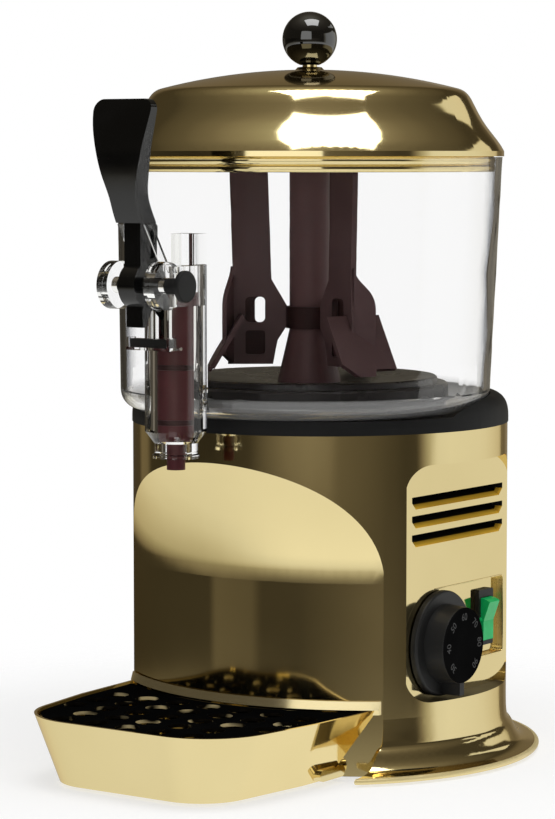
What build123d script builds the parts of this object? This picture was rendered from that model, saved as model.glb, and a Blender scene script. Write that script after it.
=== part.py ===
from build123d import *
import math
import os

os.makedirs("parts", exist_ok=True)

# A hot chocolate dispenser, in millimetres. The front with the tap is -Y, the control panel is on +X, and the
# feet stand on z 0. The origin is the middle of the footprint.

# Play between pieces
gap = 0.4
touch = 0.1
fit = 0.05

# Body
body_r = 118.0
body_top = 207.0
body_back = 12.0
wall = 2.5
flange_r = 139.0
flange_z = 1.5
flange_t = 3.5
flare_z = 36.0
foot_bore = 125.0
floor_low = 4.0
floor_t = 2.0

# Front recess, turned about an upright line behind the bowl
recess_back = 62.0
recess_r = 153.2
recess_half = 94.3
recess_straight = 118.0
recess_bow = 178.0

# Side panel
facet_x = 102.5
facet_half = 59.0
facet_low = 44.0
facet_top = 188.0
facet_corner = 17.0
vent_length = 105.0
vent_h = 7.6
vent_pitch = 11.4
vent_top = 168.7
vent_deep = 8.0
panel_deep = 4.2

# Bowl
bowl_r_top = 120.0
bowl_draft = 5.0
bowl_top = 372.0
bowl_foot = 216.0
bowl_shift = 5.0
bowl_wall = 3.6

# Heated floor, column and shaft
plate_r = 87.0
plate_step_r = 80.0
plate_top = 236.0
column_r = 12.5
column_top = 384.0
foot_r = 20.0
shaft_r = 5.0
bush_r = 7.0

# Tap
tap_out = 19.0
lever_reach = 34.5
pivot_z = 298.0
barrel_r = 18.3
piston_r = 11.0
stub_r = 5.5
ear_r = 14.0
ear_in = 13.2
ear_t = 7.6
pin_r = 4.7
pin_head_r = 9.2
pin_out = 10.8
lever_t = 11.8
finger_t = 8.4
lever_rise = 36.2
paddle_h = 71.0
paddle_half = 20.8
neck_half = 8.8
finger_z = 287.2

# Lid
lid_over = 1.0
lid_top = 426.0
ball_r = 17.0
stud_r = 4.5

# Drip tray
tray_reach = 202.0
tray_rim = 42.3
tray_low = 2.0
tray_wall = 1.8
tray_lip = 5.0
grille_t = 2.0
grille_top = 41.3

# Dial and switch
dial_forward = 10.6
dial_z = 77.2
dial_r = 32.2
dial_cap_r = 24.2
spindle_r = 3.0
switch_back = 47.5
switch_z = 85.7
switch_w = 17.0
switch_h = 35.0
field_back = 66.0

axis_y = (tray_reach - body_back - flange_r) / 2
body_y = axis_y + body_back
recess_y = axis_y + recess_back
tap_y = axis_y - bowl_r_top - tap_out
pivot_y = tap_y - lever_reach
neck_z = pivot_z + lever_rise
lever_top = neck_z + paddle_h
lid_r = bowl_r_top + lid_over
bowl_r_foot = bowl_r_top - bowl_draft
dial_y = axis_y - dial_forward
switch_y = axis_y + switch_back
bowl_mouth = plate_r + 2
flare_run = flange_r - body_r

bowl_section = Plane.XZ.offset(-axis_y)
body_section = Plane.XZ.offset(-body_y)
tap_section = Plane.XZ.offset(-tap_y)
bowl_axis = Axis((0, axis_y, 0), (0, 0, 1))
body_axis = Axis((0, body_y, 0), (0, 0, 1))
tap_axis = Axis((0, tap_y, 0), (0, 0, 1))


def save(piece, name):
    piece.part.label = name
    export_step(piece.part, "parts/" + name + ".step")


def recess_sag(z):
    return recess_bow - math.sqrt(recess_bow**2 - (z - recess_straight) ** 2)


# Space in front of the recess face, moved back by an inset for the wall behind it
def recess_form(inset):
    r = recess_r - inset
    z_mid = recess_straight + 0.55 * (body_top - 7 - recess_straight)
    z_end = body_top - 7
    with BuildPart() as form:
        with BuildSketch(Plane.XZ.offset(-recess_y)):
            with BuildLine():
                Line((r, -1), (r, recess_straight))
                ThreePointArc(
                    (r, recess_straight), (r + recess_sag(z_mid), z_mid), (r + recess_sag(z_end), z_end)
                )
                Polyline((r + recess_sag(z_end), z_end), (recess_r + 70, z_end), (recess_r + 70, -1), (r, -1))
            make_face()
        revolve(axis=Axis((0, recess_y, 0), (0, 0, 1)))
        with Locations((0, axis_y - 120, 120)):
            Box(2 * (recess_half + inset), 240, 260, mode=Mode.INTERSECT)
    return form.part


def facet_form(inset):
    with BuildPart() as form:
        with BuildSketch(Plane.YZ.offset(facet_x - inset)):
            with Locations((body_y, (facet_low + facet_top) / 2)):
                RectangleRounded(
                    2 * (facet_half + inset), facet_top - facet_low + 2 * inset, facet_corner + inset
                )
        extrude(amount=60)
    return form.part


# Sunk field around the dial and the switch
def panel_form(inset):
    with BuildPart() as form:
        with BuildSketch(Plane.YZ.offset(facet_x - panel_deep - inset)):
            with Locations((dial_y, dial_z)):
                Circle(dial_r - 4 + inset)
            with Locations(((dial_y + axis_y + field_back) / 2, switch_z + 0.5)):
                RectangleRounded(axis_y + field_back - dial_y + 2 * inset, 48.6 + 2 * inset, 3 + inset)
        extrude(amount=40)
    return form.part


# One louvre: a slot with bevelled lower corners and a floor that rises inwards
def louvre_form(row):
    z_hi = vent_top - row * vent_pitch
    z_lo = z_hi - vent_h
    with BuildPart() as form:
        with BuildSketch(Plane.XZ.offset(-(body_y - vent_length / 2))):
            with BuildLine():
                Polyline(
                    (facet_x + 1, z_lo - 0.4),
                    (facet_x + 1, z_hi),
                    (facet_x - vent_deep - 3, z_hi),
                    (facet_x - vent_deep - 3, z_lo + 5),
                    close=True,
                )
            make_face()
        extrude(amount=-vent_length)
        with BuildSketch(Plane.YZ.offset(facet_x + 2)) as mouth:
            with Locations((body_y, z_hi - vent_h / 2)):
                Rectangle(vent_length, vent_h + 2)
            chamfer(mouth.vertices().group_by(Axis.Y)[0], 5.2)
        extrude(amount=-vent_deep - 8, mode=Mode.INTERSECT)
    return form.part


recess_cut = recess_form(0)
recess_keep = recess_form(wall)
facet_cut = facet_form(0)
facet_keep = facet_form(wall)
panel_cut = panel_form(0)
panel_keep = panel_form(wall)

with BuildPart() as cavity:
    with BuildSketch(body_section):
        with BuildLine():
            Polyline((0, flange_z - 1), (foot_bore, flange_z - 1), (foot_bore, floor_low + floor_t + gap))
            Spline(
                (foot_bore, floor_low + floor_t + gap),
                (body_r - wall + 0.2 * flare_run, flange_z + 13),
                (body_r - wall, flare_z + 1),
                tangents=((-0.8, 0.6), (0, 1)),
            )
            Polyline(
                (body_r - wall, flare_z + 1),
                (body_r - wall, body_top + 1),
                (0, body_top + 1),
                (0, flange_z - 1),
            )
        make_face()
    revolve(axis=body_axis)
    add(recess_keep, mode=Mode.SUBTRACT)
    add(facet_keep, mode=Mode.SUBTRACT)
    add(panel_keep, mode=Mode.SUBTRACT)
    with Locations((facet_x - vent_deep / 2 - wall / 2, body_y, vent_top - vent_pitch - vent_h / 2)):
        Box(vent_deep + wall, vent_length + 5, 2 * vent_pitch + vent_h + 5, mode=Mode.SUBTRACT)

# Gold body: turned shell with a flared foot, front recess, flat side panel, louvres and panel openings
with BuildPart() as body_shell:
    with BuildSketch(body_section):
        with BuildLine():
            Line((0, flange_z), (flange_r - 1.5, flange_z))
            ThreePointArc(
                (flange_r - 1.5, flange_z), (flange_r, flange_z + 1.6), (flange_r - 2.6, flange_z + flange_t)
            )
            Spline(
                (flange_r - 2.6, flange_z + flange_t),
                (body_r + 0.44 * flare_run, flange_z + 6.1),
                (body_r + 0.19 * flare_run, flange_z + 14.5),
                (body_r, flare_z),
                tangents=((-1, 0.12), (0, 1)),
            )
            Polyline((body_r, flare_z), (body_r, body_top), (0, body_top), (0, flange_z))
        make_face()
    revolve(axis=body_axis)
    add(recess_cut, mode=Mode.SUBTRACT)
    add(facet_cut, mode=Mode.SUBTRACT)
    add(panel_cut, mode=Mode.SUBTRACT)
    add(cavity.part, mode=Mode.SUBTRACT)
    for row in range(3):
        add(louvre_form(row), mode=Mode.SUBTRACT)
    with BuildSketch(Plane.YZ.offset(facet_x - panel_deep - wall - 1)):
        with Locations((dial_y, dial_z)):
            Circle(spindle_r + 1)
        with Locations((switch_y, switch_z)):
            Rectangle(switch_w - 2, switch_h - 5)
    extrude(amount=wall + 2, mode=Mode.SUBTRACT)
    with BuildSketch(Plane.XZ.offset(-(body_y + body_r - 10))):
        with Locations((0, 55)):
            Circle(7)
    extrude(amount=-20, mode=Mode.SUBTRACT)

# Black ring that carries the bowl, with a raised shoulder and a pocket for the bowl's foot
with BuildPart() as bowl_pocket:
    with BuildSketch(Plane.XY.offset(bowl_foot - gap)):
        with Locations((0, axis_y - bowl_shift)):
            Circle(bowl_r_foot + gap)
    with BuildSketch(Plane.XY.offset(bowl_top)):
        with Locations((0, axis_y)):
            Circle(bowl_r_top + gap)
    loft()

with BuildPart() as deck_ring:
    with BuildSketch(body_section):
        with BuildLine():
            Polyline(
                (0, body_top - 8),
                (body_r - wall - touch, body_top - 8),
                (body_r - wall - touch, body_top + touch),
                (body_r + 0.5, body_top + touch),
                (body_r + 0.5, body_top + 4),
            )
            Spline(
                (body_r + 0.5, body_top + 4), (body_r - 14, body_top + 19), tangents=((0, 1), (-1, 0))
            )
            Polyline((body_r - 14, body_top + 19), (0, body_top + 19), (0, body_top - 8))
        make_face()
    revolve(axis=body_axis)
    with BuildSketch(Plane.XY.offset(body_top - 9)):
        with Locations((0, body_y)):
            Circle(body_r - wall - 5)
    extrude(amount=13, mode=Mode.SUBTRACT)
    add(bowl_pocket.part, mode=Mode.SUBTRACT)
    with BuildSketch(Plane.XY.offset(body_top)):
        with Locations((0, axis_y)):
            Circle(plate_r + 3)
    extrude(amount=30, mode=Mode.SUBTRACT)

# Underside
foot_spots = [(66, body_y - 66), (-66, body_y - 66), (72, body_y + 72), (-72, body_y + 72)]
screw_spots = [
    ((flange_r - 27) * math.cos(math.radians(a)), body_y + (flange_r - 27) * math.sin(math.radians(a)))
    for a in (-22, 202, 55, 125)
]

with BuildPart() as base_plate:
    with BuildSketch(Plane.XY.offset(floor_low)):
        with Locations((0, body_y)):
            Circle(foot_bore - gap)
    extrude(amount=floor_t)
    add(recess_form(wall + 0.5), mode=Mode.SUBTRACT)
    with BuildSketch(Plane.XY.offset(floor_low)):
        with Locations((0, body_y)):
            with GridLocations(26, 14, 2, 3):
                SlotOverall(20, 5)
        with Locations(*foot_spots):
            Circle(4)
    extrude(amount=floor_t, mode=Mode.SUBTRACT)

with BuildPart() as feet:
    with BuildSketch(Plane.XY):
        with Locations(*foot_spots):
            Circle(10)
    extrude(amount=floor_low - touch)
    with BuildSketch(Plane.XY.offset(floor_low - touch)):
        with Locations(*foot_spots):
            Circle(3.8)
    extrude(amount=floor_t + 2)
    chamfer(feet.faces().sort_by(Axis.Z)[:4].edges(), 1)

with BuildPart() as base_screws:
    with BuildSketch(Plane.XY.offset(floor_low - 2.2)):
        with Locations(*screw_spots):
            Circle(4)
    extrude(amount=2.1)

# Gear motor on its bracket, below the heated floor
bracket_top = 146.0
box_low = 98.0

with BuildPart() as motor_bracket:
    with BuildSketch(Plane.XZ.offset(-(axis_y + 32))):
        with BuildLine():
            Polyline(
                (-76, floor_low + floor_t + touch),
                (-58, floor_low + floor_t + touch),
                (-58, bracket_top - 4),
                (58, bracket_top - 4),
                (58, floor_low + floor_t + touch),
                (76, floor_low + floor_t + touch),
                (76, floor_low + floor_t + 3),
                (62, floor_low + floor_t + 3),
                (62, bracket_top),
                (-62, bracket_top),
                (-62, floor_low + floor_t + 3),
                (-76, floor_low + floor_t + 3),
                close=True,
            )
        make_face()
    extrude(amount=64)
    with BuildSketch(Plane.XY.offset(bracket_top - 5)):
        with Locations((0, axis_y)):
            Circle(16)
            with GridLocations(70, 46, 2, 2):
                Circle(2.3)
    extrude(amount=6, mode=Mode.SUBTRACT)

with BuildPart() as gearmotor:
    with BuildSketch(Plane.XY.offset(box_low)):
        with Locations((0, axis_y)):
            RectangleRounded(92, 62, 8)
    extrude(amount=bracket_top - 4 - touch - box_low)
    with BuildSketch(Plane.XY.offset(bracket_top - 4 - touch)):
        with Locations((0, axis_y)):
            Circle(14)
    extrude(amount=8)
    with BuildSketch(Plane.XY.offset(box_low - 52)):
        with Locations((-18, axis_y)):
            Circle(24)
    extrude(amount=52)
    with BuildSketch(Plane.XY.offset(box_low + 6)):
        with Locations((0, axis_y)):
            Circle(shaft_r + fit)
    extrude(amount=60, mode=Mode.SUBTRACT)
    with BuildSketch(Plane.XY.offset(bracket_top - 24)):
        with Locations((0, axis_y)):
            with GridLocations(70, 46, 2, 2):
                Circle(2.2)
    extrude(amount=21, mode=Mode.SUBTRACT)

with BuildPart() as motor_screws:
    with BuildSketch(Plane.XY.offset(bracket_top - 20)):
        with Locations((0, axis_y)):
            with GridLocations(70, 46, 2, 2):
                Circle(2)
    extrude(amount=20)
    with BuildSketch(Plane.XY.offset(bracket_top + touch)):
        with Locations((0, axis_y)):
            with GridLocations(70, 46, 2, 2):
                Circle(4)
    extrude(amount=3)
    with BuildSketch(Plane.XY.offset(bracket_top)):
        with Locations((0, axis_y)):
            with GridLocations(70, 46, 2, 2):
                Circle(2)
    extrude(amount=touch)

# Water bath: a steel pot with a tube for the shaft, closed by the heated floor plate
bath_low = bracket_top + 4.5
bath_r = plate_r - 1
heater_z = bath_low + 16
heater_ring = 56.0
heater_leg = math.sqrt(heater_ring**2 - 14**2)

with BuildPart() as water_bath:
    with BuildSketch(bowl_section):
        with BuildLine():
            Polyline(
                (bush_r + 1, bath_low),
                (bath_r, bath_low),
                (bath_r, bowl_foot - touch),
                (bath_r - 1.5, bowl_foot - touch),
                (bath_r - 1.5, bath_low + 1.5),
                (bush_r + 2.5, bath_low + 1.5),
                (bush_r + 2.5, bowl_foot - touch),
                (bush_r + 1, bowl_foot - touch),
                close=True,
            )
        make_face()
    revolve(axis=bowl_axis)
    with BuildSketch(Plane.XY.offset(bath_low - 1)):
        with Locations((14, axis_y + heater_leg), (-14, axis_y + heater_leg)):
            Circle(4.2)
    extrude(amount=4, mode=Mode.SUBTRACT)

with BuildPart() as heating_element:
    with BuildSketch(bowl_section):
        with Locations((heater_ring, heater_z)):
            RegularPolygon(4.5, 8)
    revolve(axis=bowl_axis)
    with BuildSketch(Plane.XY.offset(bath_low - 12)):
        with Locations((14, axis_y + heater_leg), (-14, axis_y + heater_leg)):
            Circle(3.5)
    extrude(amount=heater_z - bath_low + 12)

with BuildPart() as cut_out:
    with BuildSketch(Plane.XY.offset(bath_low - 10)):
        with Locations((-50, axis_y + 46)):
            Circle(8)
    extrude(amount=10 - touch)
    with BuildSketch(Plane.XY.offset(bath_low - 13)):
        with Locations((-50, axis_y + 46)):
            with GridLocations(8, 1, 2, 1):
                Rectangle(1, 5)
    extrude(amount=3)

# Dark stepped disc in the bowl's floor, a little dished towards the column
with BuildPart() as hot_plate:
    with BuildSketch(bowl_section):
        with BuildLine():
            Polyline(
                (foot_r + touch, bowl_foot),
                (plate_r, bowl_foot),
                (plate_r, plate_top - 5.5),
                (plate_r - 1.5, plate_top - 4),
                (plate_step_r + 0.6, plate_top - 4),
                (plate_step_r, plate_top - 0.8),
                (plate_step_r - 1.2, plate_top),
                (foot_r + touch, plate_top - 4),
                close=True,
            )
        make_face()
    revolve(axis=bowl_axis)

with BuildPart() as bowl_seal:
    with BuildSketch(bowl_section):
        with BuildLine():
            Polyline(
                (plate_r + touch, bowl_foot - 5),
                (plate_r + 2.6, bowl_foot - 5),
                (plate_r + 2.6, bowl_foot - 1.6),
                (plate_r + 1.5, bowl_foot - 0.4),
                (plate_r + 1.2, bowl_foot + 6),
                (plate_r + touch, bowl_foot + 6),
                close=True,
            )
        make_face()
    revolve(axis=bowl_axis)

with BuildPart() as column:
    with BuildSketch(bowl_section):
        with BuildLine():
            Polyline(
                (bush_r + touch, bowl_foot),
                (foot_r, bowl_foot),
                (foot_r, plate_top - 4),
                (column_r, plate_top + 29),
                (column_r, column_top),
                (bush_r + touch, column_top),
                close=True,
            )
        make_face()
    revolve(axis=bowl_axis)

with BuildPart() as shaft_bushes:
    with BuildSketch(bowl_section):
        with Locations(
            ((shaft_r + fit + bush_r) / 2, column_top - 6), ((shaft_r + fit + bush_r) / 2, bowl_foot + 8)
        ):
            Rectangle(bush_r - shaft_r - fit, 11)
    revolve(axis=bowl_axis)

with BuildPart() as drive_shaft:
    with BuildSketch(Plane.XY.offset(box_low + 8)):
        with Locations((0, axis_y)):
            Circle(shaft_r)
    extrude(amount=column_top + 15 - box_low - 8)
    with BuildSketch(Plane.XY.offset(column_top + 3)):
        with Locations((shaft_r, axis_y), (-shaft_r, axis_y)):
            Rectangle(3, 2 * shaft_r + 2)
    extrude(amount=20, mode=Mode.SUBTRACT)

# Stirrer: a capped hub on the shaft, three upright arms, a guide ring about the column and plough blades
arm_t = 4.0
pocket_deep = 1.2
arm_angles = (218.5, 338.5, 98.5)
hub_low = column_top + 2
hub_top = column_top + 20
arm_out = 51.0
arm_low = plate_top + 7
ring_low = plate_top + 29.5

with BuildPart() as stirrer:
    with BuildSketch(Plane.XY.offset(hub_low)):
        with Locations((0, axis_y)):
            Circle(17)
    extrude(amount=hub_top - hub_low)
    with BuildSketch(Plane.XY.offset(ring_low)):
        with Locations((0, axis_y)):
            Circle(column_r + gap + 2)
    extrude(amount=13.5)
    for angle in arm_angles:
        c = math.cos(math.radians(angle))
        s = math.sin(math.radians(angle))
        arm_plane = Plane(origin=(0, axis_y, 0), x_dir=(c, s, 0), z_dir=(s, -c, 0))
        with BuildSketch(arm_plane.offset(-arm_t / 2)):
            with BuildLine():
                Polyline(
                    (10, hub_low + 2),
                    (27, hub_low + 2),
                    (24, 296),
                    (14, ring_low + 13.5),
                    (14, ring_low + 2),
                    (20, plate_top + 22),
                    (23, arm_low),
                    (arm_out, arm_low),
                    (arm_out - 3, 296),
                    (arm_out, hub_top - 8),
                    (arm_out - 8, hub_top),
                    (10, hub_top),
                    close=True,
                )
            make_face()
            with Locations((31, plate_top + 41)):
                RectangleRounded(6.5, 16, 3, mode=Mode.SUBTRACT)
        extrude(amount=arm_t)
        # pockets in both faces of the arm, the upper one around its slot
        with BuildSketch(arm_plane.offset(-arm_t / 2), arm_plane.offset(arm_t / 2 - pocket_deep)):
            with Locations((34, plate_top + 20.5)):
                RectangleRounded(12.5, 15, 2)
            with Locations((34, plate_top + 41)):
                RectangleRounded(12.5, 16, 3)
        extrude(amount=pocket_deep, dir=arm_plane.z_dir, mode=Mode.SUBTRACT)
        # flange bent forward from the arm's outer edge
        flange_dir = (0.421 * c - 0.907 * s, 0.421 * s + 0.907 * c)
        flange_plane = Plane(
            origin=((arm_out - 3) * c, axis_y + (arm_out - 3) * s, 0),
            x_dir=(flange_dir[0], flange_dir[1], 0),
            z_dir=(flange_dir[1], -flange_dir[0], 0),
        )
        with BuildSketch(flange_plane.offset(-1.5)):
            with BuildLine():
                Line((0, plate_top + 68), (0, arm_low))
                Line((0, arm_low), (13.8, arm_low + 6))
                Line((13.8, arm_low + 6), (13.8, plate_top + 42))
                Spline(
                    (13.8, plate_top + 42),
                    (9, plate_top + 55),
                    (0, plate_top + 68),
                    tangents=((0, 1), (-0.2, 1)),
                )
            make_face()
        extrude(amount=3)
        # plough blade that leans out towards the floor
        blade_plane = Plane(
            origin=(53 * c - 2.7 * s, axis_y + 53 * s + 2.7 * c, plate_top + 20.5),
            x_dir=(-s, c, 0),
            z_dir=(0.856 * c, 0.856 * s, 0.518),
        )
        with BuildSketch(blade_plane.offset(-1.5)):
            with BuildLine():
                Polyline(
                    (-19.5, 20.5),
                    (19.5, 20.5),
                    (19.5, -17),
                    (4, -17),
                    (2, -22),
                    (-9, -22),
                    (-19.5, -12.5),
                    close=True,
                )
            make_face()
        extrude(amount=3)
    with BuildSketch(Plane.XY.offset(ring_low - 1)):
        with Locations((0, axis_y)):
            Circle(column_r + gap)
    extrude(amount=hub_low - ring_low + 1, mode=Mode.SUBTRACT)
    with BuildSketch(Plane.XY.offset(hub_low - 1)):
        with Locations((0, axis_y)):
            Circle(shaft_r + touch)
    extrude(amount=hub_top - hub_low - 2, mode=Mode.SUBTRACT)
    split(bisect_by=Plane.XY.offset(plate_top + 2.5), keep=Keep.TOP)

# Clear bowl with the tap moulded in front
floor_t_bowl = 3.5
with BuildPart() as bowl_inside:
    with BuildSketch(Plane.XY.offset(bowl_foot + floor_t_bowl)):
        with Locations((0, axis_y - bowl_shift)):
            Circle(bowl_r_foot - bowl_wall)
    with BuildSketch(Plane.XY.offset(bowl_top)):
        with Locations((0, axis_y)):
            Circle(bowl_r_top - bowl_wall)
    loft()
    fillet(bowl_inside.edges().group_by(Axis.Z)[0], 9)

ear_top = pivot_z + 11
ear_low = pivot_z - 12.4
window_low = finger_z - 24.7
tower_top = pivot_z + 29
tower_half = 9.0
rest_z = pivot_z - 36.5
with BuildPart() as bowl:
    with BuildSketch(Plane.XY.offset(bowl_foot)):
        with Locations((0, axis_y - bowl_shift)):
            Circle(bowl_r_foot)
    with BuildSketch(Plane.XY.offset(bowl_top)):
        with Locations((0, axis_y)):
            Circle(bowl_r_top)
    loft()
    fillet(bowl.edges().group_by(Axis.Z)[0], 12)
    # barrel with its cone and spout
    with BuildSketch(tap_section):
        with BuildLine():
            Polyline(
                (0, 195),
                (14, 195),
                (14, 197),
                (13, 197.8),
                (13, 204),
                (barrel_r, 211),
                (barrel_r, ear_top),
                (0, ear_top),
                close=True,
            )
        make_face()
    revolve(axis=tap_axis)
    # web that ties the barrel to the bowl and stands above it
    web_front = tap_y + 0.68 * piston_r
    web_back = axis_y - bowl_r_top + 15
    with BuildSketch(Plane.XY.offset(bowl_foot + 5)):
        with Locations((0, (web_front + web_back) / 2)):
            Rectangle(2 * tower_half, web_back - web_front)
    extrude(amount=tower_top - bowl_foot - 5)
    # ears that hold the lever's pin
    for side in (ear_in, -ear_in - ear_t):
        with BuildSketch(Plane.YZ.offset(side)):
            with Locations((pivot_y, pivot_z)):
                Circle(ear_r)
            with Locations(((pivot_y + tap_y + 1) / 2, (ear_top + ear_low) / 2)):
                Rectangle(tap_y + 1 - pivot_y, ear_top - ear_low)
        extrude(amount=ear_t)
    # two sloping strips that the lever's neck leans on
    for side in (lever_t / 2 + 1, -12.3):
        with BuildSketch(Plane.YZ.offset(side)):
            with BuildLine():
                Polyline(
                    (pivot_y - 5, neck_z - 1),
                    (pivot_y - 3.4, neck_z - 0.6),
                    (pivot_y + 14.8, ear_top - 4),
                    (pivot_y + 12.8, ear_top - 4),
                    close=True,
                )
            make_face()
        extrude(amount=12.3 - lever_t / 2 - 1)
    with Locations((ear_in - 0.4, pivot_y + 13.8, ear_top - 2.4), (-ear_in + 0.4, pivot_y + 13.8, ear_top - 2.4)):
        Box(3, 4, 4)
    # shelf for the rubber rest under the lever's toe
    with Locations((0, tap_y - barrel_r - 2.5, rest_z - 0.9)):
        Box(31.2, 13, 1.6)
    with Locations((14.8, tap_y - barrel_r - 5.5, rest_z + 2.6), (-14.8, tap_y - barrel_r - 5.5, rest_z + 2.6)):
        Box(1.6, 7, 6.4)
    add(bowl_inside.part, mode=Mode.SUBTRACT)
    with BuildSketch(Plane.XY.offset(bowl_foot - 1)):
        with Locations((0, axis_y)):
            Circle(bowl_mouth)
    extrude(amount=10, mode=Mode.SUBTRACT)
    with BuildSketch(tap_section):
        with BuildLine():
            Polyline(
                (0, 194),
                (stub_r + 1, 194),
                (stub_r + 1, 204),
                (piston_r + touch, 206),
                (piston_r + touch, tower_top + 1),
                (0, tower_top + 1),
                close=True,
            )
        make_face()
    revolve(axis=tap_axis, mode=Mode.SUBTRACT)
    with BuildSketch(Plane.XY.offset(window_low)):
        with Locations((0, tap_y - 15)):
            Rectangle(finger_t + 1.6, 30)
    extrude(amount=ear_top + 1 - window_low, mode=Mode.SUBTRACT)
    with BuildSketch(Plane.XZ.offset(-(web_back + 6))):
        with Locations((0, bowl_foot + 15)):
            Circle(6.5)
    extrude(amount=web_back + 6 - tap_y - 3, mode=Mode.SUBTRACT)
    with BuildSketch(Plane.YZ.offset(-40)):
        with Locations((pivot_y, pivot_z)):
            Circle(pin_r + fit)
    extrude(amount=80, mode=Mode.SUBTRACT)

with BuildPart() as lever_stop:
    with Locations((0, tap_y - barrel_r - 5, rest_z + 2.5)):
        Box(27.2, 6, 5)

# Plunger that closes the spout, with two ring grooves and a slot for the lever's finger
groove_zs = (216.5, 249.0)
slot_top = finger_z + 0.5
with BuildPart() as tap_piston:
    with BuildSketch(tap_section):
        with BuildLine():
            Polyline(
                (0, 188),
                (stub_r, 188),
                (stub_r, 205.2),
                (piston_r, 208.6),
                (piston_r, slot_top + 4.8),
                (0, slot_top + 4.8),
                close=True,
            )
        make_face()
        for z in groove_zs:
            with Locations((piston_r, z)):
                Rectangle(3, 3.2, mode=Mode.SUBTRACT)
    revolve(axis=tap_axis)
    with BuildSketch(tap_section):
        with Locations((0, slot_top - 10.85)):
            Rectangle(finger_t + 1.4, 21.7)
    extrude(amount=20, both=True, mode=Mode.SUBTRACT)

with BuildPart() as piston_rings:
    with BuildSketch(tap_section):
        for z in groove_zs:
            with Locations((piston_r - 0.75, z)):
                Rectangle(1.5, 3)
    revolve(axis=tap_axis)

# Lever: a paddle and neck cut from a front and a side outline, a stem, a hub on the pin, a toe and a finger
hub_r = 13.0
with BuildPart() as tap_lever:
    with BuildSketch(Plane.XZ.offset(-(pivot_y - 30))):
        with BuildLine():
            Polyline((0, neck_z), (neck_half, neck_z), (neck_half + 0.1, neck_z + 10))
            Spline(
                (neck_half + 0.1, neck_z + 10),
                (0.59 * paddle_half, neck_z + 26),
                (0.84 * paddle_half, neck_z + 46),
                (paddle_half, neck_z + 64),
                tangents=((0, 1), (0.1, 1)),
            )
            Polyline((paddle_half, neck_z + 64), (paddle_half, lever_top), (0, lever_top), (0, neck_z))
        make_face()
        mirror(about=Plane.YZ)
        fillet(vertices().group_by(Axis.Y)[-1], 6.5)
    extrude(amount=-60)
    with BuildSketch(Plane.YZ.offset(-paddle_half - 8)):
        with BuildLine():
            Line((pivot_y - 10.6, neck_z), (pivot_y + 4.6, neck_z))
            Spline(
                (pivot_y + 4.6, neck_z),
                (pivot_y - 4.6, neck_z + 18),
                (pivot_y - 9.8, neck_z + 38),
                (pivot_y - 9, lever_top),
            )
            Line((pivot_y - 9, lever_top), (pivot_y - 13.7, lever_top))
            Spline(
                (pivot_y - 13.7, lever_top),
                (pivot_y - 19.2, neck_z + 48),
                (pivot_y - 19, neck_z + 27),
                (pivot_y - 10.6, neck_z),
            )
        make_face()
    extrude(amount=2 * paddle_half + 16, mode=Mode.INTERSECT)
    with BuildSketch(Plane.YZ.offset(-lever_t / 2)):
        with BuildLine():
            Polyline(
                (pivot_y - 6.7, pivot_z),
                (pivot_y - 6.7, neck_z + 2),
                (pivot_y + 1, neck_z + 6),
                (pivot_y + 9.6, neck_z - 2),
                (pivot_y + 9.6, pivot_z),
                close=True,
            )
        make_face()
        with Locations((pivot_y, pivot_z)):
            Circle(hub_r)
        with BuildLine():
            Polyline(
                (pivot_y - 4.8, pivot_z),
                (pivot_y + 9, pivot_z - 8),
                (pivot_y + 1, pivot_z - 19),
                (pivot_y - 2, pivot_z - 24.2),
                (pivot_y - 4.8, pivot_z - 24.2),
                close=True,
            )
        make_face()
    extrude(amount=lever_t)
    with BuildSketch(Plane.YZ.offset(-finger_t / 2)):
        with BuildLine():
            Polyline(
                (pivot_y + 6, pivot_z + 5),
                (tap_y - piston_r - 6.5, finger_z + 3.2),
                (tap_y - piston_r - 2, finger_z),
                (tap_y - 2.5, finger_z),
                (tap_y - 0.5, finger_z - 4.2),
                (tap_y - 3.8, finger_z - 10.2),
                (tap_y - 5, finger_z - 19.2),
                (tap_y - 9, finger_z - 19.2),
                (tap_y - 9, finger_z - 10.2),
                (tap_y - 17, finger_z - 4.2),
                (pivot_y + 5, pivot_z - 9),
                close=True,
            )
        make_face()
    extrude(amount=finger_t)
    for side in (lever_t / 2 - 1.4, -lever_t / 2):
        with BuildSketch(Plane.YZ.offset(side)):
            with Locations((pivot_y + 1.6, pivot_z + 24)):
                RectangleRounded(10, 17, 2)
        extrude(amount=1.4, mode=Mode.SUBTRACT)
    with BuildSketch(Plane.YZ.offset(-30)):
        with Locations((pivot_y, pivot_z)):
            Circle(pin_r + 0.08)
    extrude(amount=60, mode=Mode.SUBTRACT)

with BuildPart() as lever_pin:
    with BuildSketch(Plane.YZ.offset(-ear_in - ear_t)):
        with Locations((pivot_y, pivot_z)):
            Circle(pin_r)
    extrude(amount=2 * (ear_in + ear_t) + pin_out)
    with BuildSketch(Plane.YZ.offset(ear_in + ear_t + pin_out)):
        with Locations((pivot_y, pivot_z)):
            Circle(pin_head_r)
    extrude(amount=3)
    fillet(lever_pin.edges().group_by(Axis.X)[-1], 1)

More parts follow.
